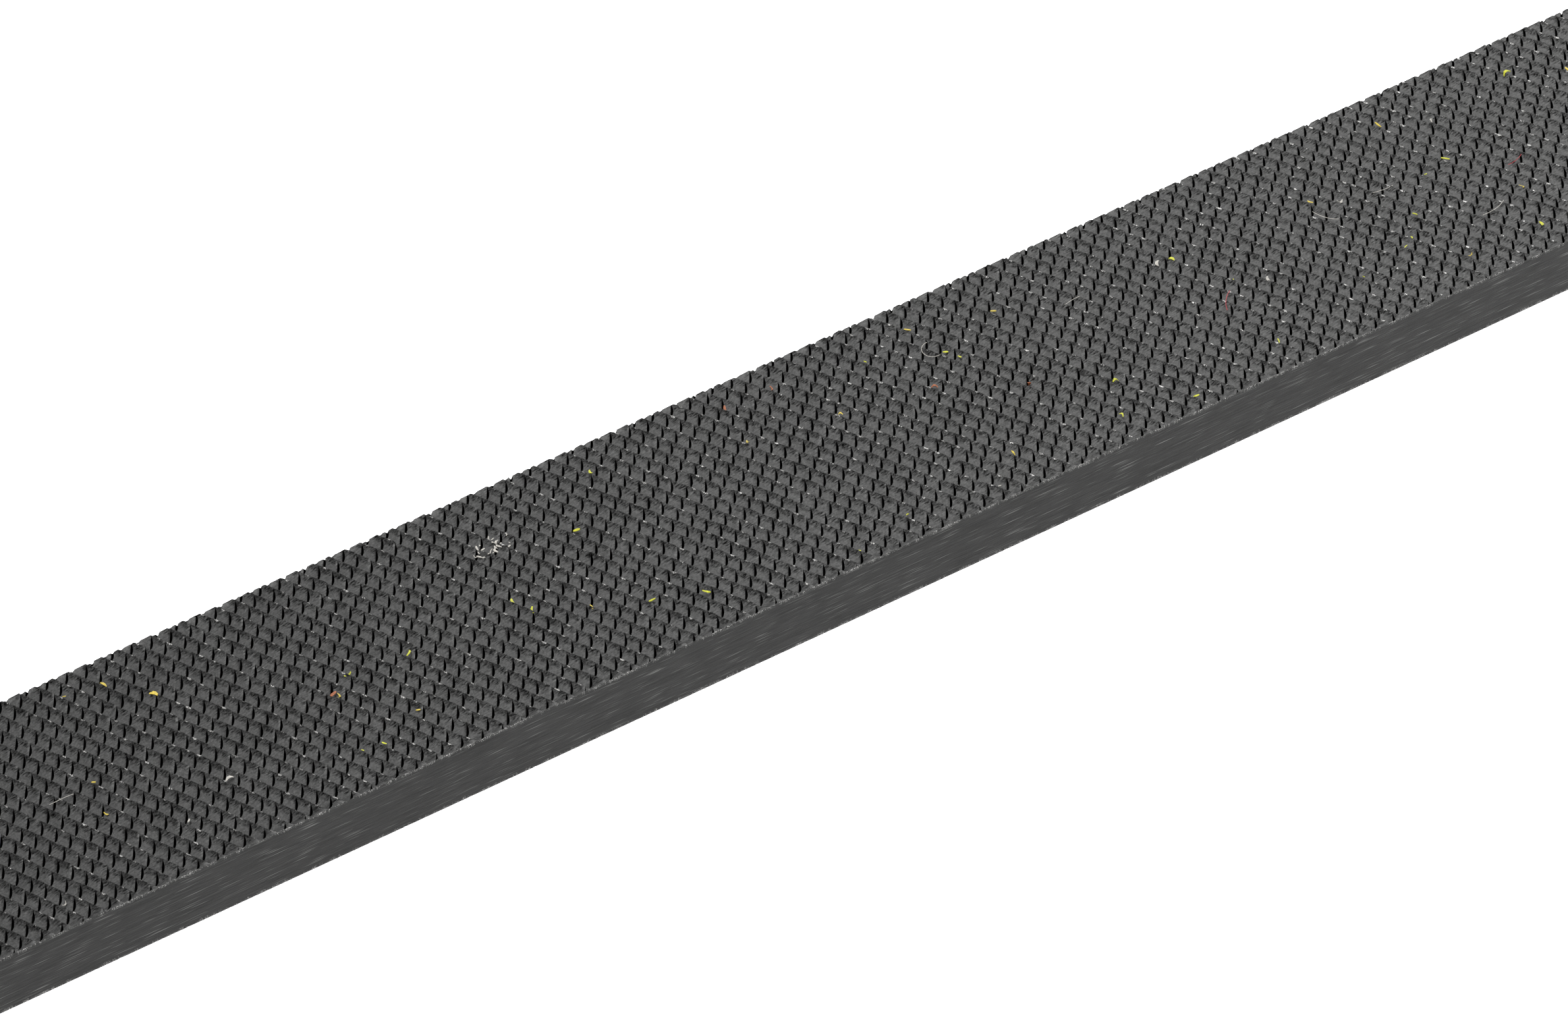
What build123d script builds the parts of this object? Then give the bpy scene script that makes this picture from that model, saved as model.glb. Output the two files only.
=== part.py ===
from build123d import *
import os

# A flat file with its handle, lying along X with the tip at +X and its faces level.
# The origin is under the middle of the whole tool, at the height of the lowest point of the handle.

# Blade: parallel in width and in thickness, with the flat faces at the height of the tooth crests.
BLADE_LENGTH = 150.0
BLADE_WIDTH = 16.0
BLADE_THICKNESS = 4.0
TIP_CHAMFER = 0.4

# Tang: its length counts from the shoulders, and it tapers in width and in thickness.
TANG_LENGTH = 48.0
TANG_ROOT_WIDTH = 9.2
TANG_POINT_WIDTH = 3.0
TANG_POINT_THICKNESS = 1.8
SHOULDER_LENGTH = 6.5
TANG_END_ROUNDING = 0.6

# Ferrule: a drawn cap with a turned-in rim and a rolled bead that locks it on the wood.
FERRULE_LENGTH = 17.0
FERRULE_RADIUS = 8.75
FERRULE_WALL = 0.8
FERRULE_MOUTH_RADIUS = 6.2
FERRULE_CORNER_RADIUS = 1.3
BEAD_RADIUS = 0.6
BEAD_FROM_BACK = 5.0

# Handle: it swells from a shoulder behind the ferrule to its full radius, then closes to a domed butt.
# Each turned curve is a row of (distance behind the ferrule, radius) pairs.
HANDLE_LENGTH = 102.0
HANDLE_RADIUS = 13.0
HANDLE_FRONT = [(0.0, 9.4), (14.0, 9.8), (32.0, 11.7), (50.0, HANDLE_RADIUS)]
HANDLE_BACK = [(50.0, HANDLE_RADIUS), (68.0, 12.3), (80.0, 9.2), (85.0, 4.0)]
SHOULDER_ROUNDING = 0.5
BORE_RADIUS = 3.0
BORE_DEPTH = 30.0
PILOT_RADIUS = 2.0
PILOT_DEPTH = 52.0

# The heel shoulders stop this far in front of the ferrule.
NECK_GAP = 5.0

overall_length = HANDLE_LENGTH + NECK_GAP + BLADE_LENGTH
tip_x = overall_length / 2
heel_x = tip_x - BLADE_LENGTH
mouth_x = heel_x - NECK_GAP
butt_x = mouth_x - HANDLE_LENGTH
tang_end_x = heel_x - TANG_LENGTH
ferrule_back_x = mouth_x - FERRULE_LENGTH


def symmetric_face(half_outline):
    """A face from its half outline above the X axis, closed along the axis and mirrored."""
    ends = [half_outline[0] @ 0, half_outline[-1] @ 1]
    half = make_face([*half_outline, Line(ends[1], ends[0])])
    return half + mirror(half, about=Plane.XZ)


def make_blade():
    """The blade, its shoulders and its tang, as one piece."""
    half_width = BLADE_WIDTH / 2
    root = Vector(heel_x - SHOULDER_LENGTH, TANG_ROOT_WIDTH / 2)
    point = Vector(tang_end_x, TANG_POINT_WIDTH / 2)
    plan = symmetric_face([
        Line((tip_x, 0), (tip_x, half_width)),
        Line((tip_x, half_width), (heel_x, half_width)),
        TangentArc(root, (heel_x, half_width), tangent=root - point),
        Line(root, point),
        Line(point, (tang_end_x, 0)),
    ])
    half_thickness = BLADE_THICKNESS / 2
    side = symmetric_face([
        Line((tip_x, 0), (tip_x, half_thickness)),
        Line((tip_x, half_thickness), (heel_x, half_thickness)),
        Line((heel_x, half_thickness), (tang_end_x, TANG_POINT_THICKNESS / 2)),
        Line((tang_end_x, TANG_POINT_THICKNESS / 2), (tang_end_x, 0)),
    ])
    flat_plate = extrude(plan, BLADE_THICKNESS, both=True)
    wedge = extrude(Rot(90, 0, 0) * side, BLADE_WIDTH, both=True)
    blade = flat_plate & wedge
    tip_edges = blade.faces().sort_by(Axis.X)[-1].edges()
    blade = chamfer(tip_edges, TIP_CHAMFER)
    tang_corners = blade.faces().sort_by(Axis.X)[0].edges().filter_by(Axis.Z)
    return fillet(tang_corners, TANG_END_ROUNDING)


def make_ferrule():
    """A round cap over the front of the handle, open at the back, with a hole for the tang."""
    inner_radius = FERRULE_RADIUS - FERRULE_WALL
    rim_x = mouth_x - FERRULE_WALL
    tube = Pos(ferrule_back_x, 0) * Rectangle(FERRULE_LENGTH, FERRULE_RADIUS, align=(Align.MIN, Align.MIN))
    tube = fillet(tube.vertices().sort_by(Axis.X)[-2:].sort_by(Axis.Y)[-1], FERRULE_CORNER_RADIUS)
    hollow_length = rim_x - ferrule_back_x
    tube -= Pos(ferrule_back_x, 0) * Rectangle(hollow_length, inner_radius, align=(Align.MIN, Align.MIN))
    tube -= Pos(rim_x, 0) * Rectangle(FERRULE_WALL, FERRULE_MOUTH_RADIUS, align=(Align.MIN, Align.MIN))
    bead_x = ferrule_back_x + BEAD_FROM_BACK
    ridge = Pos(bead_x, inner_radius) * Circle(BEAD_RADIUS)
    groove = Pos(bead_x, FERRULE_RADIUS) * Circle(BEAD_RADIUS)
    return revolve(tube + ridge - groove, Axis.X)


def turned_curve(shape, tangents):
    """A smooth curve behind the ferrule through (distance, radius) pairs, with its end directions."""
    points = [(ferrule_back_x - behind, radius) for behind, radius in shape]
    return Spline(points, tangents=tangents)


def make_handle(blade, ferrule):
    """The turned handle, with a stepped bore that the corners of the tang bite into."""
    inner_radius = FERRULE_RADIUS - FERRULE_WALL
    spigot_x = mouth_x - FERRULE_WALL
    front = turned_curve(HANDLE_FRONT, [(-1, 0), (-1, 0)])
    back = turned_curve(HANDLE_BACK, [(-1, 0), (-0.15, -1)])
    outline = [
        Line((spigot_x, 0), (spigot_x, inner_radius)),
        Line((spigot_x, inner_radius), (ferrule_back_x, inner_radius)),
        Line((ferrule_back_x, inner_radius), front @ 0),
        front,
        back,
        Line(back @ 1, (butt_x, 0)),
        Line((butt_x, 0), (spigot_x, 0)),
    ]
    body = revolve(make_face(outline), Axis.X)
    shoulder = body.edges().filter_by(GeomType.CIRCLE).group_by(Axis.X)[-2].sort_by(SortBy.RADIUS)[-1]
    body = fillet(shoulder, SHOULDER_ROUNDING)
    bore = Pos(mouth_x, 0) * Rectangle(BORE_DEPTH, BORE_RADIUS, align=(Align.MAX, Align.MIN))
    bore += Pos(mouth_x, 0) * Rectangle(PILOT_DEPTH, PILOT_RADIUS, align=(Align.MAX, Align.MIN))
    return body - revolve(bore, Axis.X) - blade - ferrule


def main():
    """Builds the three pieces on the X axis, lifts them onto the origin's level and writes them."""
    blade = make_blade()
    ferrule = make_ferrule()
    handle = make_handle(blade, ferrule)
    os.makedirs("parts", exist_ok=True)
    for name, piece in {"blade": blade, "ferrule": ferrule, "handle": handle}.items():
        export_step(Pos(0, 0, HANDLE_RADIUS) * piece, f"parts/{name}.step")


main()
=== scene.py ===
import math

import bpy
import numpy as np
from mathutils import Matrix, Vector


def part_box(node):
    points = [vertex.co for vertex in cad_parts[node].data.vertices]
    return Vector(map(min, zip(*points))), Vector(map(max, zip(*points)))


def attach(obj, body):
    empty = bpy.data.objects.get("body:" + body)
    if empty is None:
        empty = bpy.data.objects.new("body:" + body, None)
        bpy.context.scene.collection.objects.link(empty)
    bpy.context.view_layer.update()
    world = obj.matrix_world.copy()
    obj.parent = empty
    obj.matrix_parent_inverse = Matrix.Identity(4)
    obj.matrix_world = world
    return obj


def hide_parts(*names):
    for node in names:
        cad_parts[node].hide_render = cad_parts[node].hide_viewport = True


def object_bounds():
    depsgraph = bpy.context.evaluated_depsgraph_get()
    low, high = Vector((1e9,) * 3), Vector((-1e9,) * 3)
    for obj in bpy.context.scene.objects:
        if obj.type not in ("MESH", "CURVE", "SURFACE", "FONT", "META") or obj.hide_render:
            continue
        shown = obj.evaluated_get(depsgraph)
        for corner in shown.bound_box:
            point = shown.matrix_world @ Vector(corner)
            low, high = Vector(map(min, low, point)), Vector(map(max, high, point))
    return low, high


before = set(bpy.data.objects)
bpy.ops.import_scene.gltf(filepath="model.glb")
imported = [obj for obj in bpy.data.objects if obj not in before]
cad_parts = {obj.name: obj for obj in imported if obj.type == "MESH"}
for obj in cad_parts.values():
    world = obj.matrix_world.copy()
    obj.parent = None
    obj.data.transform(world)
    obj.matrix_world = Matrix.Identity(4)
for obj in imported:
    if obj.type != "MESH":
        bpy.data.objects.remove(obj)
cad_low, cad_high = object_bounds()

# A double-cut flat file. Its teeth stand on the blade as real geometry, while the handle and the ferrule
# stay the CAD nodes and get finished materials.

MM = 0.001

# Tang and shoulders, as the CAD has them.
TANG_LENGTH = 48 * MM
SHOULDER_LENGTH = 6.5 * MM
TANG_ROOT_WIDTH = 9.2 * MM
TANG_POINT_WIDTH = 3.0 * MM
TANG_POINT_THICKNESS = 1.8 * MM

# Places from the frame: the blade lies along X with its tip at +X, and its smooth safe edge faces -Y.
blade_low, blade_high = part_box("blade")
tip_x = blade_high.x
heel_x = blade_low.x + TANG_LENGTH
half_width = (blade_high.y - blade_low.y) / 2
half_thickness = (blade_high.z - blade_low.z) / 2
axis_z = (blade_high.z + blade_low.z) / 2

# Camera: the point of the upper face that it aims at, its direction, its distance and its lens.
AIM_FROM_HEEL = 76 * MM
AIM_ACROSS = -2.300 * MM
CAMERA_ELEVATION = math.radians(46.63)
CAMERA_AZIMUTH = math.radians(24.75)
CAMERA_ROLL = math.radians(5.82)
CAMERA_DISTANCE = 268.59 * MM
SENSOR_WIDTH = 36.0
CAMERA_LENS = 115.31
CLIP_START = 0.01

# Tooth lattice: each cut is a family of parallel lines, given by its pitch, the direction of its normal, and
# its phase at the camera's aim, counted in lines. A few lines to spare lie outside the face on every side.
UPCUT_PITCH = 0.8180 * MM
UPCUT_NORMAL = math.radians(30.76)
UPCUT_AT_AIM = 0.94
OVERCUT_PITCH = 0.8780 * MM
OVERCUT_NORMAL = math.radians(-45.26)
OVERCUT_AT_AIM = 0.366
SPARE_LINES = 2

# One tooth. s runs over its back from its valley to its crest, and t across it from its overcut notch to the
# next one, both from 0 to 1. Depths are below the crest, and the back curls up to the crest by a power of s.
TOOTH_DEPTH = 0.25 * MM
BACK_CURL = 0.42
CURL_POWER = 3.2
CREST_ROUNDING = 0.15
CREST_FLATNESS = 4
SIDE_MARGIN = 0.08
SIDE_TILT = 0.02 * MM
BACK_STEPS = (0.05, 0.14, 0.26, 0.40, 0.54, 0.67, 0.78, 0.87, 0.94, 0.985)
ACROSS_STEPS = (0.30, 0.42, 0.55, 0.68, 0.80, 0.90)

# The notch, with its widths in t where it is open and where it is closed, its lean along s, the stretch of s
# where it is open, how soon it opens fully, and its section.
NOTCH_DEPTH = 0.34 * MM
NOTCH_WIDTH = 0.165
NOTCH_SEAM = 0.02
NOTCH_LEAN = -0.27
NOTCH_START = 0.08
NOTCH_END = 0.90
NOTCH_FULLNESS = 0.7
NOTCH_STEPS = (0, 0.12, 0.88, 1.0)
NOTCH_SHAPE = (0, 1.0, 1.0, 0)

# The burr that stands on part of the crest, with the place, spread and width of its worn painted highlight.
BURR_HEIGHT = 0.012 * MM
BURR_START = 0.96
BURR_PLACE = 0.50
BURR_SPREAD = 0.08
BURR_WIDTH = 0.14

# Unevenness: how far lines and crests stray, and what each tooth draws by mean, spread, low and high limit.
LINE_JITTER = 0.02
HEIGHT_JITTER = 0.008 * MM
NOTCH_CHANGE = (1, 0.2, 0.5, 1.5)
CURL_CHANGE = (1, 0.25, 0.4, 1.6)
BURR_SIZE = (0.45, 0.5, 0, 1.4)

# Marks on the mesh, which the steel's material reads: how much painted shade a point gets, most in the
# notches, and how much of the worn crests' painted highlight. The back gets painted shade where it curls up,
# less at its crest, and the burr gets the worn painted highlight. Bands are stretches of s.
MARKS = ("painted_shade", "wear_and_highlight")
NOTCH_SHADE_PROFILE = (0.3, 1.0, 1.0, 0.3)
SHADE_IN_CURL = 0.45
CURL_START = 0.57
CURL_RUN = 0.12
CREST_LIGHT = 0.5
CREST_BAND = (0.93, 0.99)
WEAR_HIGHLIGHT_BAND = (0.90, 0.97)

# The borders of a cut face: its teeth run out at the smooth edge, and lose a little height at the cut one.
BORDER_FADE = 0.34 * MM
BORDER_DEPTH = 0.06 * MM
MARKS_FADE_START = 0.3 * BORDER_FADE
# The corner at the smooth edge: a thin worn line, painted bright as a highlight.
CORNER_WEAR_HIGHLIGHT = 0.34
CORNER_WIDTH = 0.2 * BORDER_FADE
FAR_FADE = 0.14 * MM
FAR_SHARE = 0.45
UNCUT_HEEL = 3.5 * MM
HEEL_BORDER = 0.03 * MM
TIP_CHAMFER = 0.4 * MM

# Both faces, as closed skins in a few lengths each: name, random seed, and side of the cut edge.
FACES = (("upper", 11, 1), ("lower", 23, -1))
PANELS = 4
SKIN_DEPTH = 0.6 * MM

# The single-cut edge: a steep cut and a long slope back in every pitch, shallower at the blade's corners.
EDGE_PITCH = 0.95 * MM
EDGE_DEPTH = 0.11 * MM
EDGE_SLANT = math.tan(math.radians(28))
EDGE_CUT = 0.12
EDGE_CORNER_START = 0.8
EDGE_CORNER_LOSS = 0.5
EDGE_STEP = 0.095 * MM
EDGE_ROWS = 5
EDGE_END = 2 * MM

# Stations along the tang, as shares of its length, and its corners, which start sharp at the heel.
TANG_STATIONS = (0, 0.015, 0.03, 0.05, 0.075, 0.1, 0.125, 0.15, 0.4, 0.7, 0.97, 1.0)
TANG_CORNER = 0.5 * MM
TANG_CORNER_GROWTH = 0.1
SMALLEST_CORNER = 0.001 * MM
CORNER_STEPS = 4

SHARP_ANGLE = math.radians(40)

# Dirt: chips between the teeth, more of them towards the tip. In its tooth, a chip's phase along the upcut is
# drawn by mean and spread, and its phase along the overcut from a range.
DIRT_SEED = 47
CHIPS = 105
CHIPS_TO_TIP = 1.7
CHIP_REACH = 0.85
CHIP_UPCUT_PHASE = (0.2, 0.1)
CHIP_OVERCUT_PHASE = (0.3, 0.8)
CHIP_EDGE_GAP = 0.5 * MM
CHIP_TIP_GAP = MM
CHIP_DROP = 0.06 * MM

# The shape of one flake: stations along it from -1 to 1, and ranges of its sizes as shares of its length.
FLAKE_LENGTH = (0.16 * MM, 0.5 * MM)
FLAKE_THICKNESS = 0.03 * MM
FLAKE_TILT = 0.35
FLAKE_WIDTH = (0.25, 0.5)
FLAKE_BEND = (-0.3, 0.3)
FLAKE_STATIONS = (-1, -0.4, 0.3, 1)
FLAKE_TAPER = 0.5
FLAKE_UNEVENNESS = (0.7, 1.2)

# A pale smear of smaller flakes, and fibres that lie across the teeth.
SMEAR_FLECKS = 22
SMEAR_SIZE = 0.7
SMEAR_FROM_HEEL = 61.4 * MM
SMEAR_ACROSS = 3.8 * MM
SMEAR_SPREAD = 0.7 * MM
SMEAR_SPREAD_ACROSS = 0.5 * SMEAR_SPREAD
FIBRES = 9
FIBRE_LENGTH = (1.0 * MM, 2.4 * MM)
FIBRE_RADIUS = 0.018 * MM
FIBRE_REACH = 0.7
FIBRE_BEND = 1.2
FIBRE_WAVE = 5
FIBRE_STATIONS = 12

# Tints pick a colour: chips mostly brass yellow, then gold, pale and rust; fibres pale or red.
PALE_TINT = 0.5
RED_TINT = 0.9
CHIP_TINTS = (0.1, 0.1, 0.1, 0.3, 0.3, PALE_TINT, 0.7)
FIBRE_TINTS = (PALE_TINT, PALE_TINT, RED_TINT)
TINT_COLOURS = (
    (0.0, (0.52, 0.53, 0.03, 1)),
    (0.2, (0.60, 0.46, 0.06, 1)),
    (0.4, (0.46, 0.44, 0.40, 1)),
    (0.6, (0.30, 0.09, 0.03, 1)),
    (0.8, (0.40, 0.04, 0.05, 1)),
)
DIRT_TONE = (0.7, 1.3)
DIRT_ROUGHNESS = (0.35, 0.6)

# A noise is its scale per metre for each axis, its detail and its roughness. It mostly keeps to this range.
NOISE_RANGE = (0.3, 0.7)

# Steel: grinding lines along the blade, fine grain and mottling, with painted shade under the crests and in
# the notches and a painted highlight on the worn crests; tones are shares of the colour.
STEEL_COLOUR = (0.071, 0.071, 0.070, 1)
STEEL_ROUGHNESS = (0.36, 0.50)
GRINDING_NOISE = ((1100, 11500, 11500), 2.0, 0.6)
GRINDING_DEPTH = 0.012 * MM
GRAIN_NOISE = ((9000, 9000, 9000), 2.0, 0.6)
GRAIN_TONE = (0.75, 1.25)
GRAIN_IN_BUMP = 0.6
MOTTLE_NOISE = ((700, 700, 700), 3.0, 0.6)
MOTTLE_TONE = (0.85, 1.15)
LINE_CONTRAST = (0.2, 1.0)
# Painted shade: the tone under the crests, and the near black of the notches.
CURL_SHADE_TONE = 0.64
NOTCH_SHADE_TONE = 0.05
NOTCH_FLOOR = 0.9
# A painted highlight on the worn crests and along the corner: bright steel, broken into specks.
WORN_HIGHLIGHT_COLOUR = (0.75, 0.74, 0.72, 1)
WORN_HIGHLIGHT_LIMITS = (0.25, 0.7)
SPECKLE_NOISE = ((17000, 17000, 17000), 2.0, 0.6)
SPECKLE_LIMITS = (0.4, 0.6)
SPECKLE_SHARE = (0.15, 1.5)

# The smooth edge: long lines with pale scratches on a tone darkened as painted shade, on whatever lies within
# a hair of its plane.
SAFE_EDGE_REACH = 0.01 * MM
SAFE_EDGE_NOISE = ((260, 9000, 9000), 4.0, 0.65)
SAFE_EDGE_SHADE_TONE = (0.28, 0.52)
SCRATCH_NOISE = ((450, 15000, 15000), 1.0, 0.5)
SCRATCH_LIMITS = (0.62, 0.80)
SCRATCH_COLOUR = (0.16, 0.16, 0.155, 1)

# Varnished beech: growth rings that the turning cuts, fibre and pores.
WOOD_LIGHT = (0.62, 0.40, 0.20, 1)
WOOD_DARK = (0.40, 0.215, 0.085, 1)
WOOD_PORE = (0.16, 0.075, 0.03, 1)
WOOD_RINGS = 420
WOOD_RINGS_LEAN = 0.35
WOOD_WARP = 3.0
WOOD_WARP_NOISE = ((14, 90, 90), 2.0, 0.5)
WOOD_FIBRE_NOISE = ((160, 3200, 3200), 4.0, 0.6)
WOOD_PORE_NOISE = ((700, 5200, 5200), 1.0, 0.4)
WOOD_PORE_LIMITS = (0.64, 0.76)
WOOD_PORE_SHARE = 0.6
WOOD_PIT_LIMITS = (0.6, 0.75)
WOOD_RING_SHARE = 0.6
WOOD_FIBRE_SHARE = 0.5
WOOD_GRAIN_START = 0.1
WOOD_FIBRE_RELIEF = 0.4
WOOD_ROUGHNESS = (0.42, 0.55)
WOOD_RELIEF = 0.05 * MM
VARNISH_WEIGHT = 0.35
VARNISH_ROUGHNESS = 0.16

# Plated sheet steel, brushed round the ring.
FERRULE_COLOUR = (0.58, 0.58, 0.56, 1)
FERRULE_BRUSH_NOISE = ((9000, 260, 260), 4.0, 0.7)
FERRULE_BRUSH_TONE = (0.86, 1.1)
FERRULE_STAIN_NOISE = ((380, 380, 380), 4.0, 0.6)
FERRULE_STAIN_LIMITS = (0.52, 0.78)
FERRULE_STAIN_TONE = 0.78
FERRULE_ROUGHNESS = (0.24, 0.36)
FERRULE_DULL_LIMITS = (0.5, 0.75)
FERRULE_DULL = 0.25
FERRULE_RELIEF = 0.01 * MM
COATED_BUMP = 0.5

# Stage: a glowing pale floor with a coved low wall, a dim room, and lights that face the origin. Each light
# has its name, place, width, length and power.
FLOOR_COLOUR = (0.9, 0.9, 0.9, 1)
WHITE = (1, 1, 1, 1)
FLOOR_GLOW = 0.75
FLOOR_RADIUS = 2.2
FLOOR_SIDES = 72
COVE_RADIUS = 0.6
COVE_STEPS = 12
WALL_HEIGHT = 1.1
WORLD_STRENGTH = 0.45
LIGHTS = (
    ("overhead", (0.1, 0.05, 0.9), 0.9, 0.9, 7),
    ("far_side", (0.5, 0.8, 0.6), 0.6, 0.5, 2.2),
)


# The teeth.


def lattice(x, y):
    """The two cuts' phases at points of a face, rising towards the tip."""
    dx, dy = x - heel_x - AIM_FROM_HEEL, y - AIM_ACROSS
    u = (dx * math.cos(UPCUT_NORMAL) + dy * math.sin(UPCUT_NORMAL)) / UPCUT_PITCH + UPCUT_AT_AIM
    v = (dx * math.cos(OVERCUT_NORMAL) + dy * math.sin(OVERCUT_NORMAL)) / OVERCUT_PITCH + OVERCUT_AT_AIM
    return u, v


def unlattice(u, v):
    """The points of a face where the two cuts have these phases."""
    along_u, along_v = (u - UPCUT_AT_AIM) * UPCUT_PITCH, (v - OVERCUT_AT_AIM) * OVERCUT_PITCH
    turn = math.sin(OVERCUT_NORMAL - UPCUT_NORMAL)
    dx = (along_u * math.sin(OVERCUT_NORMAL) - along_v * math.sin(UPCUT_NORMAL)) / turn
    dy = (along_v * math.cos(UPCUT_NORMAL) - along_u * math.cos(OVERCUT_NORMAL)) / turn
    return dx + heel_x + AIM_FROM_HEEL, dy + AIM_ACROSS


def step_up(x, low, high):
    """0 below low, 1 above high, and a smooth step between."""
    t = np.clip((x - low) / (high - low), 0, 1)
    return t * t * (3 - 2 * t)


def notch_share(s):
    """How open the overcut notch is along the back of a tooth: closed near the crest and in the valley."""
    along = (s - NOTCH_START) / (NOTCH_END - NOTCH_START)
    return float(np.sin(np.pi * np.clip(along, 0, 1)) ** NOTCH_FULLNESS)


class ToothedFace:
    """One double-cut face, seen from its own side, whose mesh has its rows along the upcut lines."""

    def __init__(self, seed, safe_side):
        self.safe_side = safe_side
        self.rng = np.random.default_rng(seed)
        corners = [lattice(x, y) for x in (heel_x, tip_x) for y in (-half_width, half_width)]
        self.u_low = int(min(c[0] for c in corners)) - SPARE_LINES
        self.v_low = int(min(c[1] for c in corners)) - SPARE_LINES
        self.rows = int(max(c[0] for c in corners)) + SPARE_LINES + 1 - self.u_low
        self.columns = int(max(c[1] for c in corners)) + SPARE_LINES + 1 - self.v_low
        self.u_shift = self.rng.normal(0, LINE_JITTER, self.rows)
        self.v_shift = self.rng.normal(0, LINE_JITTER, self.columns)
        self.crest_change = self.rng.normal(0, HEIGHT_JITTER, (self.rows, self.columns))
        self.notch_change = self.per_tooth(*NOTCH_CHANGE)
        self.curl_change = self.per_tooth(*CURL_CHANGE)
        self.burr = self.per_tooth(*BURR_SIZE)
        self.burr_place = self.rng.normal(0, 1, (self.rows, self.columns))

    def per_tooth(self, mean, spread, low, high):
        """A random number for every tooth, within limits."""
        return np.clip(self.rng.normal(mean, spread, (self.rows, self.columns)), low, high)

    def row(self, cell_row, s):
        """The points of one row from one edge to the other: x, y, height over the mid plane, and marks."""
        opening = NOTCH_WIDTH * notch_share(s) + NOTCH_SEAM
        steps = [share * opening for share in NOTCH_STEPS] + list(ACROSS_STEPS)
        cell, t = np.meshgrid(np.arange(self.columns), steps, indexing="ij")
        cell, t = cell.ravel(), t.ravel()
        v = self.v_low + cell + t + NOTCH_LEAN * (s - 0.5) + self.v_shift[cell]
        u = np.full_like(v, self.u_low + cell_row + s + self.u_shift[cell_row])
        x, y = unlattice(u, v)
        depth = self.depth(cell_row, cell, s, t, opening)
        from_safe, from_cut = half_width - self.safe_side * y, half_width + self.safe_side * y
        cut_fade = FAR_SHARE + (1 - FAR_SHARE) * step_up(from_cut, 0, FAR_FADE)
        depth = BORDER_DEPTH + (depth - BORDER_DEPTH) * step_up(from_safe, 0, BORDER_FADE) * cut_fade
        height = np.minimum(half_thickness - depth, half_thickness - TIP_CHAMFER + tip_x - x)
        painted_shade, wear_and_highlight = self.marks(cell_row, cell, s, t, opening)
        fade = step_up(from_safe, MARKS_FADE_START, BORDER_FADE)
        # A thin painted highlight along the corner at the smooth edge, as on a worn corner.
        corner = CORNER_WEAR_HIGHLIGHT * (1 - step_up(from_safe, 0, CORNER_WIDTH))
        return np.stack([x, y, height, painted_shade * fade, np.maximum(wear_and_highlight * fade, corner)], 1)

    def marks(self, cell_row, cell, s, t, opening):
        """How much painted shade each point of one row gets, under the crest and most in the notch, and how
        much of the worn burr's painted highlight, from 0 to 1.
        """
        # Painted shade in the notch and in the curl under the crest, less of it at the crest.
        in_notch = np.interp(t / opening, NOTCH_STEPS, NOTCH_SHADE_PROFILE) * (t < opening)
        notch = in_notch * min(1, 2 * notch_share(s))
        curl = SHADE_IN_CURL * step_up(s, CURL_START, CURL_START + CURL_RUN)
        curl *= 1 - CREST_LIGHT * step_up(s, *CREST_BAND)
        # The worn burr's painted highlight, about the middle of the crest.
        place = BURR_PLACE + BURR_SPREAD * self.burr_place[cell_row, cell]
        near_burr = np.exp(-(((t - place) / BURR_WIDTH) ** 2))
        wear_and_highlight = near_burr * self.burr[cell_row, cell] * step_up(s, *WEAR_HIGHLIGHT_BAND)
        return np.maximum(notch, curl), np.clip(wear_and_highlight, 0, 1)

    def depth(self, cell_row, cell, s, t, opening):
        """Depth below the crests of the points of one row."""
        across = np.clip((t - SIDE_MARGIN) / (1 - SIDE_MARGIN), 0, 1)
        middle = 1 - np.abs(2 * across - 1) ** CREST_FLATNESS
        curl = BACK_CURL * self.curl_change[cell_row, cell]
        crest = curl * s**CURL_POWER * (1 - CREST_ROUNDING + CREST_ROUNDING * middle)
        depth = TOOTH_DEPTH * (1 - (1 - BACK_CURL) * s - crest)
        depth += SIDE_TILT * (1 - t) * (t > 0)
        notch = np.interp(t / opening, NOTCH_STEPS, NOTCH_SHAPE)
        depth += notch * NOTCH_DEPTH * notch_share(s) * self.notch_change[cell_row, cell]
        burr = BURR_HEIGHT * self.burr[cell_row, cell] * middle**3 * (s > BURR_START)
        return depth - self.crest_change[cell_row, cell] * s - burr

    def all_rows(self):
        """Every whole row across the cut part of the face, clipped to it, from the heel to the tip."""
        clipped = []
        for cell_row in range(self.rows):
            for s in BACK_STEPS:
                row = clip_row(self.row(cell_row, s))
                if row is not None:
                    clipped.append(row)
        return clipped


def clip_row(points):
    """The stretch of a row inside the cut area, ending exactly on its border, or None if it isn't whole."""
    x, y = points[:, 0], points[:, 1]
    if x[np.argmin(np.abs(y - half_width))] < heel_x + UNCUT_HEEL:
        return None
    inside = (np.abs(y) < half_width) & (x < tip_x)
    if np.count_nonzero(inside) < 2:
        return None
    first, last = np.flatnonzero(inside)[[0, -1]]

    def border(inner, outer):
        a, b = points[inner], points[outer]
        shares = [
            (limit - a[k]) / (b[k] - a[k])
            for k, limit in ((1, half_width), (1, -half_width), (0, tip_x))
            if (a[k] - limit) * (b[k] - limit) < 0
        ]
        return a + min(shares) * (b - a)

    kept = [border(first, first - 1), *points[first : last + 1], border(last, last + 1)]
    return {"first": int(first) - 1, "points": np.array(kept)}


def heel_rows(first_row):
    """The uncut heel: its square end and its border with the teeth, numbered like the first row of teeth."""
    border = first_row["points"].copy()
    border[:, 0] -= HEEL_BORDER
    border[:, 2:] = half_thickness, 0, 0
    end = border.copy()
    end[:, 0] = heel_x
    return [{"first": first_row["first"], "points": points} for points in (end, border)]


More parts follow.
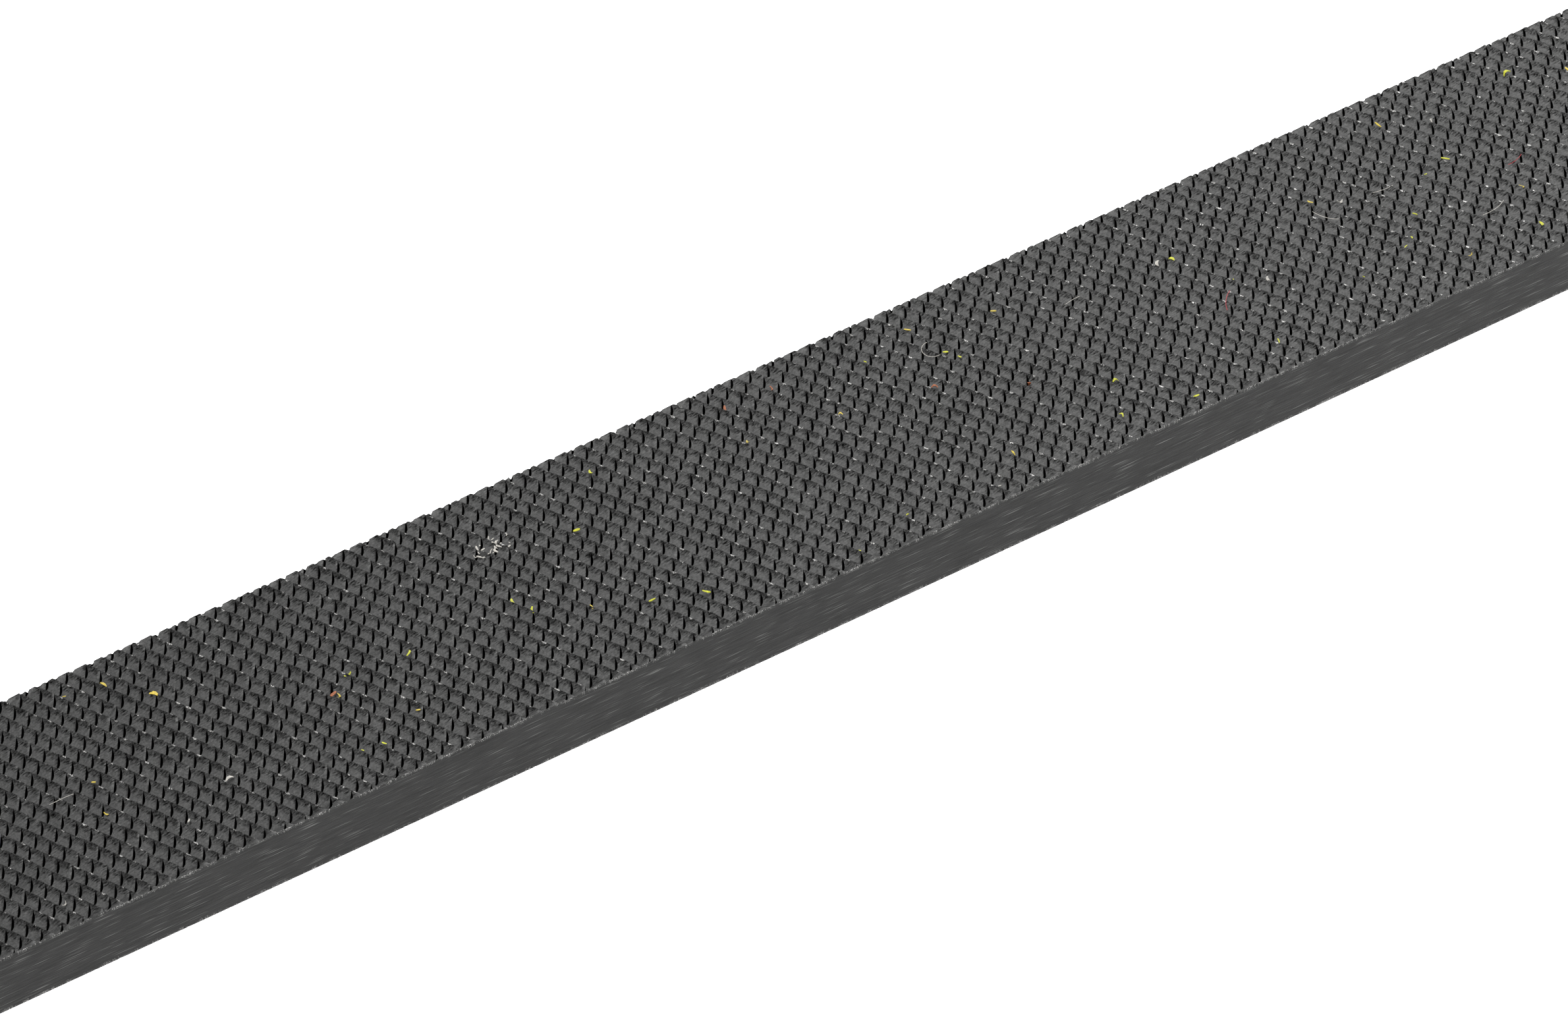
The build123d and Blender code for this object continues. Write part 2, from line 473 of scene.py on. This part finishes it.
def strip(a, b):
    """Faces between neighbouring rows, whose points share one numbering, with fans where one is longer."""
    def index(row, j):
        return row["offset"] + j - row["first"]

    def last(row):
        return row["first"] + len(row["points"]) - 1

    low, high = max(a["first"], b["first"]), min(last(a), last(b))
    j = np.arange(low, high)
    faces = np.stack([index(a, j), index(a, j + 1), index(b, j + 1), index(b, j)], 1).tolist()
    for longer, shorter, turn in ((a, b, 1), (b, a, -1)):
        for j in [*range(longer["first"], low), *range(high, last(longer))]:
            meet = index(shorter, low if j < low else high)
            faces.append([index(longer, j), index(longer, j + 1), meet][::turn])
    return faces


def edge_cut(x, z):
    """How deep the single-cut edge's teeth are at these points, with z measured from the mid plane."""
    phase = ((x - heel_x + z * EDGE_SLANT) / EDGE_PITCH) % 1
    tooth = np.where(phase < 1 - EDGE_CUT, 1 - phase / (1 - EDGE_CUT), (phase - 1 + EDGE_CUT) / EDGE_CUT)
    at_heel = step_up(x - heel_x, UNCUT_HEEL, UNCUT_HEEL + EDGE_PITCH)
    at_tip = step_up(tip_x - x, 0, 0.5 * EDGE_PITCH)
    near_corner = step_up(np.abs(z), EDGE_CORNER_START * half_thickness, half_thickness)
    return EDGE_DEPTH * (1 - tooth) * (at_heel * at_tip) * (1 - EDGE_CORNER_LOSS * near_corner)


def trim(points, cut_side):
    """The points with none beyond the single-cut edge, which lies at this side of the face."""
    trimmed = points.copy()
    limit = half_width - edge_cut(points[:, 0], cut_side * points[:, 2])
    trimmed[:, 1] = cut_side * np.minimum(cut_side * points[:, 1], limit)
    return trimmed


def panel(rows, cut_side):
    """A closed slab with these rows as its upper surface: its points and faces."""
    offset = 0
    for row in rows:
        row["border"] = row["points"][[0, -1]]
        row["points"] = trim(row["points"], cut_side)
        row["offset"] = offset
        offset += len(row["points"])
    points = [p for row in rows for p in row["points"]]
    faces = [f for a, b in zip(rows, rows[1:]) for f in strip(a, b)]
    base = half_thickness - SKIN_DEPTH
    far, near = [], []
    for row in rows:
        below = row["border"].copy()
        below[:, 2:] = base, 0, 0
        below = trim(below, cut_side)
        for ends, k in ((far, 0), (near, -1)):
            ends.append(len(points))
            points.append(below[k])
    tops = [(row["offset"], row["offset"] + len(row["points"]) - 1) for row in rows]
    for k in range(len(rows) - 1):
        faces.append([tops[k][0], tops[k + 1][0], far[k + 1], far[k]])
        faces.append([tops[k + 1][1], tops[k][1], near[k], near[k + 1]])
        faces.append([far[k], far[k + 1], near[k + 1], near[k]])
    faces.append([far[0], near[0], *range(tops[0][1], tops[0][0] - 1, -1)])
    faces.append([near[-1], far[-1], *range(tops[-1][0], tops[-1][1] + 1)])
    return points, faces


# Pieces.


def add_piece(name, points, faces, material, marks=MARKS):
    """A mesh piece that rides on the tool; its points are x, y, z and as many of the marks as they hold."""
    mesh = bpy.data.meshes.new(name)
    mesh.from_pydata([tuple(p[:3]) for p in points], [], faces)
    mesh.update()
    for column, mark in enumerate(marks[: len(points[0]) - 3]):
        values = np.array([p[3 + column] for p in points], dtype=np.float32)
        mesh.attributes.new(mark, "FLOAT", "POINT").data.foreach_set("value", values)
    mesh.materials.append(material)
    mesh.shade_smooth()
    mesh.set_sharp_from_angle(angle=SHARP_ANGLE)
    piece = bpy.data.objects.new(name, mesh)
    bpy.context.scene.collection.objects.link(piece)
    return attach(piece, "root")


def stand_for_blade(piece):
    """Hide the CAD blade, whose place this piece takes."""
    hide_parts("blade")


def turn_over(points):
    """The same points on the lower face, by a half turn about the tool's length."""
    return [(x, -y, -z, *marks) for x, y, z, *marks in points]


def lift(points):
    """Points measured from the blade's mid plane, at the blade's height."""
    return [(x, y, z + axis_z, *marks) for x, y, z, *marks in points]


def loft(sections):
    """A closed body through rings of points, with flat ends."""
    size = len(sections[0])
    points = [p for section in sections for p in section]
    faces = []
    for k in range(len(sections) - 1):
        for j in range(size):
            n = (j + 1) % size
            faces.append([k * size + j, k * size + n, (k + 1) * size + n, (k + 1) * size + j])
    last = (len(sections) - 1) * size
    faces.append(list(range(size - 1, -1, -1)))
    faces.append(list(range(last, last + size)))
    return points, faces


def build_teeth(material):
    """Both double-cut faces, in panels, as closed skins on the blade's core."""
    for side, seed, cut_side in FACES:
        rows = ToothedFace(seed, -cut_side).all_rows()
        rows = [*heel_rows(rows[0]), *rows]
        limits = np.linspace(0, len(rows) - 1, PANELS + 1).astype(int)
        for k in range(PANELS):
            points, faces = panel([dict(r) for r in rows[limits[k] : limits[k + 1] + 1]], cut_side)
            if side == "lower":
                points = turn_over(points)
            stand_for_blade(add_piece(f"{side}_teeth_{k + 1}", lift(points), faces, material))


def build_core(material):
    """The blade between its two toothed skins, with the smooth edge and the single-cut one."""
    base = half_thickness - SKIN_DEPTH
    z = np.linspace(-base, base, EDGE_ROWS)
    sections = []
    for x in np.linspace(heel_x, tip_x, int((tip_x - heel_x) / EDGE_STEP)):
        lean = EDGE_SLANT * min(1, (x - heel_x) / EDGE_END, (tip_x - x) / EDGE_END)
        along = x - z * lean
        cut_edge = zip(along, half_width - edge_cut(along, z), z)
        sections.append([*cut_edge, (x, -half_width, base), (x, -half_width, -base)])
    points, faces = loft(sections)
    stand_for_blade(add_piece("blade_core", lift(points), faces, material))


def tang_half_width(x):
    """Half the width of the shoulders and the tang: an arc from the heel's corner, then a straight taper."""
    root = Vector((heel_x - SHOULDER_LENGTH, TANG_ROOT_WIDTH / 2))
    point = Vector((heel_x - TANG_LENGTH, TANG_POINT_WIDTH / 2))
    along = (root - point).normalized()
    if x < root.x:
        return point.y + (x - point.x) * along.y / along.x
    across = Vector((-along.y, along.x))
    corner = Vector((heel_x, half_width)) - root
    radius = corner.length_squared / (2 * corner.dot(across))
    centre = root + across * radius
    return centre.y - math.sqrt(max(radius**2 - (x - centre.x) ** 2, 0))


def rounded_rectangle(half_y, half_z, corner):
    """Points round a rectangle whose corners are quarter circles of this radius."""
    points = []
    for quarter, (side_y, side_z) in enumerate(((1, 1), (-1, 1), (-1, -1), (1, -1))):
        for k in range(CORNER_STEPS + 1):
            angle = math.pi / 2 * (quarter + k / CORNER_STEPS)
            y = side_y * (half_y - corner) + corner * math.cos(angle)
            points.append((y, side_z * (half_z - corner) + corner * math.sin(angle)))
    return points


def build_tang(material):
    """The forged shoulders and the tang, tapering in width and in thickness to the point."""
    sections = []
    for share in TANG_STATIONS:
        x = heel_x - TANG_LENGTH * share
        half_z = half_thickness + (TANG_POINT_THICKNESS / 2 - half_thickness) * share
        corner = TANG_CORNER * min(1, share / TANG_CORNER_GROWTH) + SMALLEST_CORNER
        sections.append([(x, y, z) for y, z in rounded_rectangle(tang_half_width(x), half_z, corner)])
    points, faces = loft(sections)
    stand_for_blade(add_piece("tang", lift(points), [f[::-1] for f in faces], material))


# Dirt.


def chip_place(rng):
    """A place low in a tooth, towards the tip more often than towards the heel."""
    x = tip_x - (tip_x - heel_x - 2 * UNCUT_HEEL) * rng.uniform() ** CHIPS_TO_TIP
    u, v = lattice(x, rng.uniform(-CHIP_REACH, CHIP_REACH) * half_width)
    u, v = math.floor(u) + rng.normal(*CHIP_UPCUT_PHASE), math.floor(v) + rng.uniform(*CHIP_OVERCUT_PHASE)
    x, y = unlattice(u, v)
    return min(x, tip_x - CHIP_TIP_GAP), y


def smear_place(rng):
    """A place in the pale smear."""
    x = heel_x + SMEAR_FROM_HEEL + rng.normal(0, SMEAR_SPREAD)
    return x, SMEAR_ACROSS + rng.normal(0, SMEAR_SPREAD_ACROSS)


def flake(rng, x, y, size, tint):
    """One small bent flake, as rings of corners with their tint."""
    limit = half_width - CHIP_EDGE_GAP
    middle = Vector((x, min(max(y, -limit), limit), half_thickness - CHIP_DROP))
    heading, tilt = rng.uniform(0, math.tau), rng.normal(0, FLAKE_TILT)
    turn = Matrix.Rotation(heading, 3, "Z") @ Matrix.Rotation(tilt, 3, "Y")
    width, bend = size * rng.uniform(*FLAKE_WIDTH), size * rng.uniform(*FLAKE_BEND)
    rings = []
    for share in FLAKE_STATIONS:
        half = width / 2 * (1 - FLAKE_TAPER * abs(share)) * rng.uniform(*FLAKE_UNEVENNESS)
        along, sag, rise = share * size / 2, bend * share**2, bend * (1 - share * share)
        corners = ((half, 0), (half, FLAKE_THICKNESS), (-half, FLAKE_THICKNESS), (-half, 0))
        ring = [middle + turn @ Vector((along, y + sag, z + rise)) for y, z in corners]
        rings.append([(*corner, tint) for corner in ring])
    return rings


def fibre(rng):
    """One bent fibre that lies across the crests, as rings of corners with their tint."""
    x = rng.uniform(heel_x + 3 * UNCUT_HEEL, tip_x - UNCUT_HEEL)
    y = rng.uniform(-FIBRE_REACH, FIBRE_REACH) * half_width
    heading, bend = rng.uniform(0, math.tau), rng.normal(0, FIBRE_BEND)
    length, tint = rng.uniform(*FIBRE_LENGTH), rng.choice(FIBRE_TINTS)
    up = Vector((0, 0, FIBRE_RADIUS))
    rings = []
    for share in np.linspace(0, 1, FIBRE_STATIONS):
        angle = heading + bend * share
        along = Vector((math.cos(angle), math.sin(angle), 0))
        side = Vector((-math.sin(angle), math.cos(angle), 0))
        place = Vector((x, y, half_thickness + FIBRE_RADIUS * math.sin(FIBRE_WAVE * share)))
        ring = [place + side * FIBRE_RADIUS, place + up, place - side * FIBRE_RADIUS, place - up]
        rings.append([(*corner, tint) for corner in ring])
        x, y = x + along.x * length / FIBRE_STATIONS, y + along.y * length / FIBRE_STATIONS
    return rings


def build_dirt(material):
    """Chips and flecks caught between the teeth of the upper face, and fibres on it, as one piece."""
    rng = np.random.default_rng(DIRT_SEED)
    bodies = []
    for _ in range(CHIPS):
        size = rng.uniform(*FLAKE_LENGTH)
        x, y = chip_place(rng)
        bodies.append(flake(rng, x, y, size, rng.choice(CHIP_TINTS)))
    for _ in range(SMEAR_FLECKS):
        size = rng.uniform(*FLAKE_LENGTH) * SMEAR_SIZE
        x, y = smear_place(rng)
        bodies.append(flake(rng, x, y, size, PALE_TINT))
    bodies += [fibre(rng) for _ in range(FIBRES)]
    points, faces = [], []
    for rings in bodies:
        body_points, body_faces = loft(rings)
        faces += [[i + len(points) for i in face] for face in body_faces]
        points += body_points
    piece = add_piece("filings", lift(points), faces, material, marks=("tint",))


# Materials.


def node_material(name):
    """A node material with its shader and output: itself, its tree, the shader and the object's own space."""
    material = bpy.data.materials.new(name)
    material.use_nodes = True
    tree = material.node_tree
    tree.nodes.clear()
    output = tree.nodes.new("ShaderNodeOutputMaterial")
    shader = tree.nodes.new("ShaderNodeBsdfPrincipled")
    tree.links.new(shader.outputs[0], output.inputs[0])
    position = tree.nodes.new("ShaderNodeTexCoord").outputs["Object"]
    return material, tree, shader, position


def set_input(tree, socket, value):
    """Give a socket a value, or link another node's output to it."""
    if isinstance(value, bpy.types.NodeSocket):
        tree.links.new(value, socket)
    else:
        socket.default_value = value


def add_node(tree, kind, inputs=(), **settings):
    """A node with its settings and its inputs, each a value or another node's output."""
    node = tree.nodes.new(kind)
    for name, value in settings.items():
        setattr(node, name, value)
    for key, value in dict(inputs).items():
        set_input(tree, node.inputs[key], value)
    return node


def mark_value(tree, mark):
    """A mark of the mesh, as a value."""
    return add_node(tree, "ShaderNodeAttribute", attribute_name=mark).outputs["Fac"]


def noise(tree, position, scale, detail, roughness):
    """Noise from 0 to 1 with this scale for each axis."""
    place = add_node(tree, "ShaderNodeMapping", {0: position, 3: scale}).outputs[0]
    inputs = {"Vector": place, "Scale": 1.0, "Detail": detail, "Roughness": roughness}
    return add_node(tree, "ShaderNodeTexNoise", inputs).outputs["Fac"]


def math_node(tree, operation, *values):
    """The result of a math node."""
    return add_node(tree, "ShaderNodeMath", dict(enumerate(values)), operation=operation).outputs[0]


def multiply(tree, *values):
    """The product of two or more values."""
    product = values[0]
    for value in values[1:]:
        product = math_node(tree, "MULTIPLY", product, value)
    return product


def ramp(tree, value, low, high, to_low, to_high):
    """value from low to high, taken to to_low and to_high."""
    inputs = {0: value, 1: low, 2: high, 3: to_low, 4: to_high}
    return add_node(tree, "ShaderNodeMapRange", inputs).outputs[0]


def from_noise(tree, value, to_low, to_high):
    """A noise value, taken from the range that it mostly keeps within to these limits."""
    return ramp(tree, value, *NOISE_RANGE, to_low, to_high)


def mix_colour(tree, share, a, b, blend_type="MIX"):
    """Two colours mixed by a share."""
    inputs = {0: share, 6: a, 7: b}
    return add_node(tree, "ShaderNodeMix", inputs, data_type="RGBA", blend_type=blend_type).outputs[2]


def toned(tree, colour, tone):
    """A colour multiplied by a tone."""
    return mix_colour(tree, 1.0, colour, tone, "MULTIPLY")


def add_bump(tree, shader, height, strength, distance):
    """Bump the shader's normal by this height."""
    bump = add_node(tree, "ShaderNodeBump", {"Height": height, "Strength": strength, "Distance": distance})
    tree.links.new(bump.outputs[0], shader.inputs["Normal"])


def cut_steel_colour(tree, painted_shade, lines, grain, mottle):
    """The colour of the toothed faces: ground lines, with painted shade, darker under the crests and darkest
    in the notches; the lines show stronger in that painted shade.
    """
    in_curl = ramp(tree, painted_shade, 0.0, SHADE_IN_CURL, 0.0, 1.0)
    contrast = ramp(tree, in_curl, 0.0, 1.0, *LINE_CONTRAST)
    lines_tone = math_node(tree, "MULTIPLY_ADD", from_noise(tree, lines, -1.0, 1.0), contrast, 1.0)
    # Painted shade: darker under the crests, near black in the notches.
    curl_shade = ramp(tree, in_curl, 0.0, 1.0, 1.0, CURL_SHADE_TONE)
    notch_shade = ramp(tree, painted_shade, SHADE_IN_CURL, NOTCH_FLOOR, 1.0, NOTCH_SHADE_TONE)
    grain_tone = from_noise(tree, grain, *GRAIN_TONE)
    mottle_tone = from_noise(tree, mottle, *MOTTLE_TONE)
    tone = multiply(tree, lines_tone, grain_tone, mottle_tone, curl_shade, notch_shade)
    return toned(tree, STEEL_COLOUR, tone)


def safe_edge_colour(tree, position):
    """The colour of the smooth edge: long lines and pale scratches, on a tone darkened as painted shade."""
    lines = noise(tree, position, *SAFE_EDGE_NOISE)
    colour = toned(tree, STEEL_COLOUR, from_noise(tree, lines, *SAFE_EDGE_SHADE_TONE))
    scratches = noise(tree, position, *SCRATCH_NOISE)
    return mix_colour(tree, ramp(tree, scratches, *SCRATCH_LIMITS, 0.0, 1.0), colour, SCRATCH_COLOUR)


def steel_material(name):
    """Dark hardened steel with grinding lines along the blade and mottling, painted shade under the crests
    and in the notches, worn crests painted bright as highlights, and a smooth edge darkened as painted shade.
    """
    material, tree, shader, position = node_material(name)
    shader.inputs["Metallic"].default_value = 1.0
    painted_shade, wear_and_highlight = (mark_value(tree, mark) for mark in MARKS)
    lines = noise(tree, position, *GRINDING_NOISE)
    grain = noise(tree, position, *GRAIN_NOISE)
    mottle = noise(tree, position, *MOTTLE_NOISE)
    across = add_node(tree, "ShaderNodeSeparateXYZ", {0: position}).outputs[1]
    on_edge = math_node(tree, "LESS_THAN", across, SAFE_EDGE_REACH - half_width)
    face_colour = cut_steel_colour(tree, painted_shade, lines, grain, mottle)
    # The smooth edge takes its own colour, darkened as painted shade.
    colour = mix_colour(tree, on_edge, face_colour, safe_edge_colour(tree, position))
    # Worn crests painted bright as highlights, broken into specks.
    highlight_speckle = ramp(tree, noise(tree, position, *SPECKLE_NOISE), *SPECKLE_LIMITS, *SPECKLE_SHARE)
    worn_highlight = ramp(tree, multiply(tree, wear_and_highlight, highlight_speckle), *WORN_HIGHLIGHT_LIMITS, 0.0, 1.0)
    tree.links.new(mix_colour(tree, worn_highlight, colour, WORN_HIGHLIGHT_COLOUR), shader.inputs["Base Color"])
    tree.links.new(from_noise(tree, mottle, *STEEL_ROUGHNESS), shader.inputs["Roughness"])
    height = math_node(tree, "ADD", lines, multiply(tree, grain, GRAIN_IN_BUMP))
    add_bump(tree, shader, height, 1.0, GRINDING_DEPTH)
    return material


def dirt_material():
    """Brass-yellow chips, pale flecks and rust, by each flake's tint."""
    material, tree, shader, position = node_material("filings")
    tint = mark_value(tree, "tint")
    colours = tree.nodes.new("ShaderNodeValToRGB")
    colours.color_ramp.interpolation = "CONSTANT"
    tree.links.new(tint, colours.inputs[0])
    first, second, *others = TINT_COLOURS
    colours.color_ramp.elements[0].color = first[1]
    colours.color_ramp.elements[1].position, colours.color_ramp.elements[1].color = second
    for place, colour in others:
        colours.color_ramp.elements.new(place).color = colour
    grain = noise(tree, position, *GRAIN_NOISE)
    colour = toned(tree, colours.outputs[0], from_noise(tree, grain, *DIRT_TONE))
    tree.links.new(colour, shader.inputs["Base Color"])
    tree.links.new(from_noise(tree, grain, *DIRT_ROUGHNESS), shader.inputs["Roughness"])
    return material


def wood_material():
    """Clear varnished beech: long grain, growth rings cut by the turning, and short dark pores."""
    material, tree, shader, position = node_material("beech")
    warp = noise(tree, position, *WOOD_WARP_NOISE)
    fibre = noise(tree, position, *WOOD_FIBRE_NOISE)
    pores = noise(tree, position, *WOOD_PORE_NOISE)
    axes = add_node(tree, "ShaderNodeSeparateXYZ", {0: position}).outputs
    rings = math_node(tree, "MULTIPLY_ADD", axes[1], WOOD_RINGS, multiply(tree, warp, WOOD_WARP))
    rings = math_node(tree, "MULTIPLY_ADD", axes[2], WOOD_RINGS_LEAN * WOOD_RINGS, rings)
    rings = math_node(tree, "PINGPONG", rings, 1.0)
    ring_grain = ramp(tree, rings, 0.0, 1.0, 0.0, WOOD_RING_SHARE)
    grain = math_node(tree, "ADD", ring_grain, from_noise(tree, fibre, 0.0, WOOD_FIBRE_SHARE))
    colour = mix_colour(tree, ramp(tree, grain, WOOD_GRAIN_START, 1.0, 0.0, 1.0), WOOD_LIGHT, WOOD_DARK)
    in_pore = ramp(tree, pores, *WOOD_PORE_LIMITS, 0.0, WOOD_PORE_SHARE)
    tree.links.new(mix_colour(tree, in_pore, colour, WOOD_PORE), shader.inputs["Base Color"])
    tree.links.new(from_noise(tree, fibre, *WOOD_ROUGHNESS), shader.inputs["Roughness"])
    shader.inputs["Coat Weight"].default_value = VARNISH_WEIGHT
    shader.inputs["Coat Roughness"].default_value = VARNISH_ROUGHNESS
    pits = ramp(tree, pores, *WOOD_PIT_LIMITS, 0.0, 1.0)
    height = math_node(tree, "SUBTRACT", multiply(tree, fibre, WOOD_FIBRE_RELIEF), pits)
    add_bump(tree, shader, height, COATED_BUMP, WOOD_RELIEF)
    return material


def ferrule_material():
    """Plated sheet steel, brushed round the ring, with small stains."""
    material, tree, shader, position = node_material("plated_steel")
    shader.inputs["Metallic"].default_value = 1.0
    brushed = noise(tree, position, *FERRULE_BRUSH_NOISE)
    stains = noise(tree, position, *FERRULE_STAIN_NOISE)
    brush_tone = from_noise(tree, brushed, *FERRULE_BRUSH_TONE)
    stain_tone = ramp(tree, stains, *FERRULE_STAIN_LIMITS, 1.0, FERRULE_STAIN_TONE)
    colour = toned(tree, FERRULE_COLOUR, multiply(tree, brush_tone, stain_tone))
    tree.links.new(colour, shader.inputs["Base Color"])
    dullness = ramp(tree, stains, *FERRULE_DULL_LIMITS, 0.0, FERRULE_DULL)
    rough = math_node(tree, "ADD", from_noise(tree, brushed, *FERRULE_ROUGHNESS), dullness)
    tree.links.new(rough, shader.inputs["Roughness"])
    add_bump(tree, shader, brushed, COATED_BUMP, FERRULE_RELIEF)
    return material


def paint_node(name, material):
    """Give a CAD node its finished material."""
    node = bpy.data.objects[name]
    if not node.material_slots:
        node.data.materials.append(material)
    for slot in node.material_slots:
        slot.link = "OBJECT"
        slot.material = material


# Stage and camera.


def floor_material():
    """Matt and pale, with a glow of its own."""
    material, _, shader, _ = node_material("floor")
    shader.inputs["Base Color"].default_value = FLOOR_COLOUR
    shader.inputs["Roughness"].default_value = 1.0
    shader.inputs["Emission Color"].default_value = WHITE
    shader.inputs["Emission Strength"].default_value = FLOOR_GLOW
    return material


def build_floor():
    """A round floor that curves up into a low wall."""
    profile = [(0.5 * FLOOR_RADIUS, 0), (FLOOR_RADIUS, 0)]
    for k in range(1, COVE_STEPS + 1):
        angle = math.pi / 2 * k / COVE_STEPS
        profile.append((FLOOR_RADIUS + COVE_RADIUS * math.sin(angle), COVE_RADIUS * (1 - math.cos(angle))))
    profile.append((FLOOR_RADIUS + COVE_RADIUS, WALL_HEIGHT))
    points, faces = [], [list(range(FLOOR_SIDES))]
    for radius, height in profile:
        for k in range(FLOOR_SIDES):
            angle = math.tau * k / FLOOR_SIDES
            points.append((radius * math.cos(angle), radius * math.sin(angle), height))
    for ring in range(len(profile) - 1):
        for k in range(FLOOR_SIDES):
            inner, n = ring * FLOOR_SIDES, (k + 1) % FLOOR_SIDES
            faces.append([inner + k, inner + FLOOR_SIDES + k, inner + FLOOR_SIDES + n, inner + n])
    mesh = bpy.data.meshes.new("floor")
    mesh.from_pydata(points, [], faces)
    mesh.shade_smooth()
    mesh.materials.append(floor_material())
    floor = bpy.data.objects.new("floor", mesh)
    bpy.context.scene.collection.objects.link(floor)
    floor.location.z = cad_low.z


def build_lights():
    """A dim room and soft lights."""
    world = bpy.data.worlds.new("room")
    bpy.context.scene.world = world
    world.use_nodes = True
    background = world.node_tree.nodes["Background"]
    background.inputs[0].default_value = WHITE
    background.inputs[1].default_value = WORLD_STRENGTH
    for name, place, width, length, power in LIGHTS:
        light = bpy.data.lights.new(name, "AREA")
        light.shape = "RECTANGLE"
        light.size, light.size_y, light.energy = width, length, power
        lamp = bpy.data.objects.new(name, light)
        bpy.context.scene.collection.objects.link(lamp)
        lamp.location = Vector(place)
        lamp.rotation_mode = "QUATERNION"
        lamp.rotation_quaternion = (-lamp.location).to_track_quat("-Z", "Y")


def build_camera():
    """A long lens over the near edge, with the tip going away to the right."""
    aim = Vector((heel_x + AIM_FROM_HEEL, AIM_ACROSS, axis_z + half_thickness))
    forward = Vector((
        math.sin(CAMERA_AZIMUTH) * math.cos(CAMERA_ELEVATION),
        math.cos(CAMERA_AZIMUTH) * math.cos(CAMERA_ELEVATION),
        -math.sin(CAMERA_ELEVATION),
    ))
    level = forward.cross(Vector((0, 0, 1))).normalized()
    up = Matrix.Rotation(CAMERA_ROLL, 3, forward) @ level.cross(forward)
    right = forward.cross(up)
    camera = bpy.data.objects.new("camera", bpy.data.cameras.new("camera"))
    bpy.context.scene.collection.objects.link(camera)
    turn = Matrix((right, up, -forward)).transposed().to_4x4()
    camera.matrix_world = Matrix.Translation(aim - forward * CAMERA_DISTANCE) @ turn
    camera.data.sensor_width = SENSOR_WIDTH
    camera.data.lens = CAMERA_LENS
    camera.data.clip_start = CLIP_START
    bpy.context.scene.camera = camera


steel = steel_material("hard_steel")
build_teeth(steel)
build_core(steel)
build_tang(steel)
build_dirt(dirt_material())
paint_node("handle", wood_material())
paint_node("ferrule", ferrule_material())
build_floor()
build_lights()
build_camera()
bpy.context.scene.view_settings.view_transform = "Standard"
bpy.context.scene.view_settings.look = "None"
